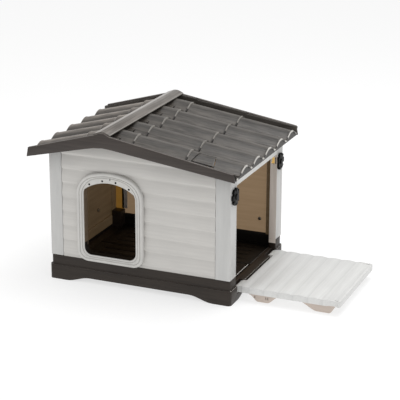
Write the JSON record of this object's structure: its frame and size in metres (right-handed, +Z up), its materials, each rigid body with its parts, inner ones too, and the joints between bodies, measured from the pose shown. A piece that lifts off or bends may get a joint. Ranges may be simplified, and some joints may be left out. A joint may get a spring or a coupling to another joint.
{
  "type": "pitched-roof pet kennel with fold-down side wall",
  "caption": "Plastic kennel with a pitched tile roof, an arched gable doorway and a side wall that folds down on two legs as a veranda.",
  "frame": {"origin": "centre of the base on the ground", "axes": "+X right along the gable front, towards the fold-down side wall; +Y to the back; +Z up"},
  "size_m": [1.2616, 0.719, 0.661],
  "materials": {
    "house_wall": "satin moulded plastic, warm light grey",
    "veranda_white": "satin moulded plastic, off-white with embossed planks",
    "leg_beige": "matt moulded plastic, pinkish beige",
    "roof_tile": "semi-matt moulded plastic with a fine flow grain, taupe grey",
    "base_brown": "semi-matt moulded plastic, dark brown",
    "floor_brown": "matt moulded plastic, near black brown",
    "latch_black": "semi-gloss black plastic",
    "hinge_steel": "zinc-plated steel"
  },
  "bodies": {
    "house": {"base_tray": "base_brown", "floor_panel_front": "floor_brown", "floor_panel_rear": "floor_brown", "front_wall": "house_wall", "rear_wall": "house_wall", "left_wall": "house_wall", "post_front_left": "house_wall", "post_rear_left": "house_wall", "post_front_right": "house_wall", "post_rear_right": "house_wall", "side_lintel": "house_wall", "door_surround": "house_wall", "door_liner": "house_wall", "wall_bolts": "hinge_steel", "roof_left": "roof_tile", "roof_right": "roof_tile", "ridge_cap": "roof_tile", "front_fascia": "base_brown", "rear_fascia": "base_brown", "vent_grille": "base_brown", "vent_hinge_pin": "hinge_steel", "panel_hinge_pin_front": "hinge_steel", "panel_hinge_pin_rear": "hinge_steel"},
    "veranda": {"side_panel": "veranda_white", "leg_hinge_pins_front": "hinge_steel", "leg_hinge_pins_rear": "hinge_steel"},
    "leg_front": {"panel_leg_front": "leg_beige"},
    "leg_rear": {"panel_leg_rear": "leg_beige"},
    "latch_front": {"latch_knob_front": "latch_black", "latch_spindle_front": "hinge_steel", "latch_clip_front": "hinge_steel"},
    "latch_rear": {"latch_knob_rear": "latch_black", "latch_spindle_rear": "hinge_steel", "latch_clip_rear": "hinge_steel"},
    "vent": {"vent_hatch": "roof_tile"}
  },
  "joints": [
    {"name": "veranda_hinge", "type": "hinge", "parent": "house", "child": "veranda", "pos_m": [0.388, 0, 0.044], "axis": [0, -1, 0], "range_deg": [0, 90]},
    {"name": "leg_front_fold", "type": "hinge", "parent": "veranda", "child": "leg_front", "pos_m": [0.6, -0.2025, 0.048], "axis": [1, 0, 0], "range_deg": [0, 90]},
    {"name": "leg_rear_fold", "type": "hinge", "parent": "veranda", "child": "leg_rear", "pos_m": [0.6, 0.2025, 0.048], "axis": [-1, 0, 0], "range_deg": [0, 90]},
    {"name": "latch_front_turn", "type": "hinge", "parent": "house", "child": "latch_front", "pos_m": [0.388, -0.2497, 0.4366], "axis": [1, 0, 0], "range_deg": [0, 90]},
    {"name": "latch_rear_turn", "type": "hinge", "parent": "house", "child": "latch_rear", "pos_m": [0.388, 0.2497, 0.4366], "axis": [-1, 0, 0], "range_deg": [0, 90]},
    {"name": "vent_tilt", "type": "hinge", "parent": "house", "child": "vent", "pos_m": [0.27493, -0.243, 0.57926], "axis": [-0.9898, 0, 0.1422], "range_deg": [0, 25]}
  ]
}
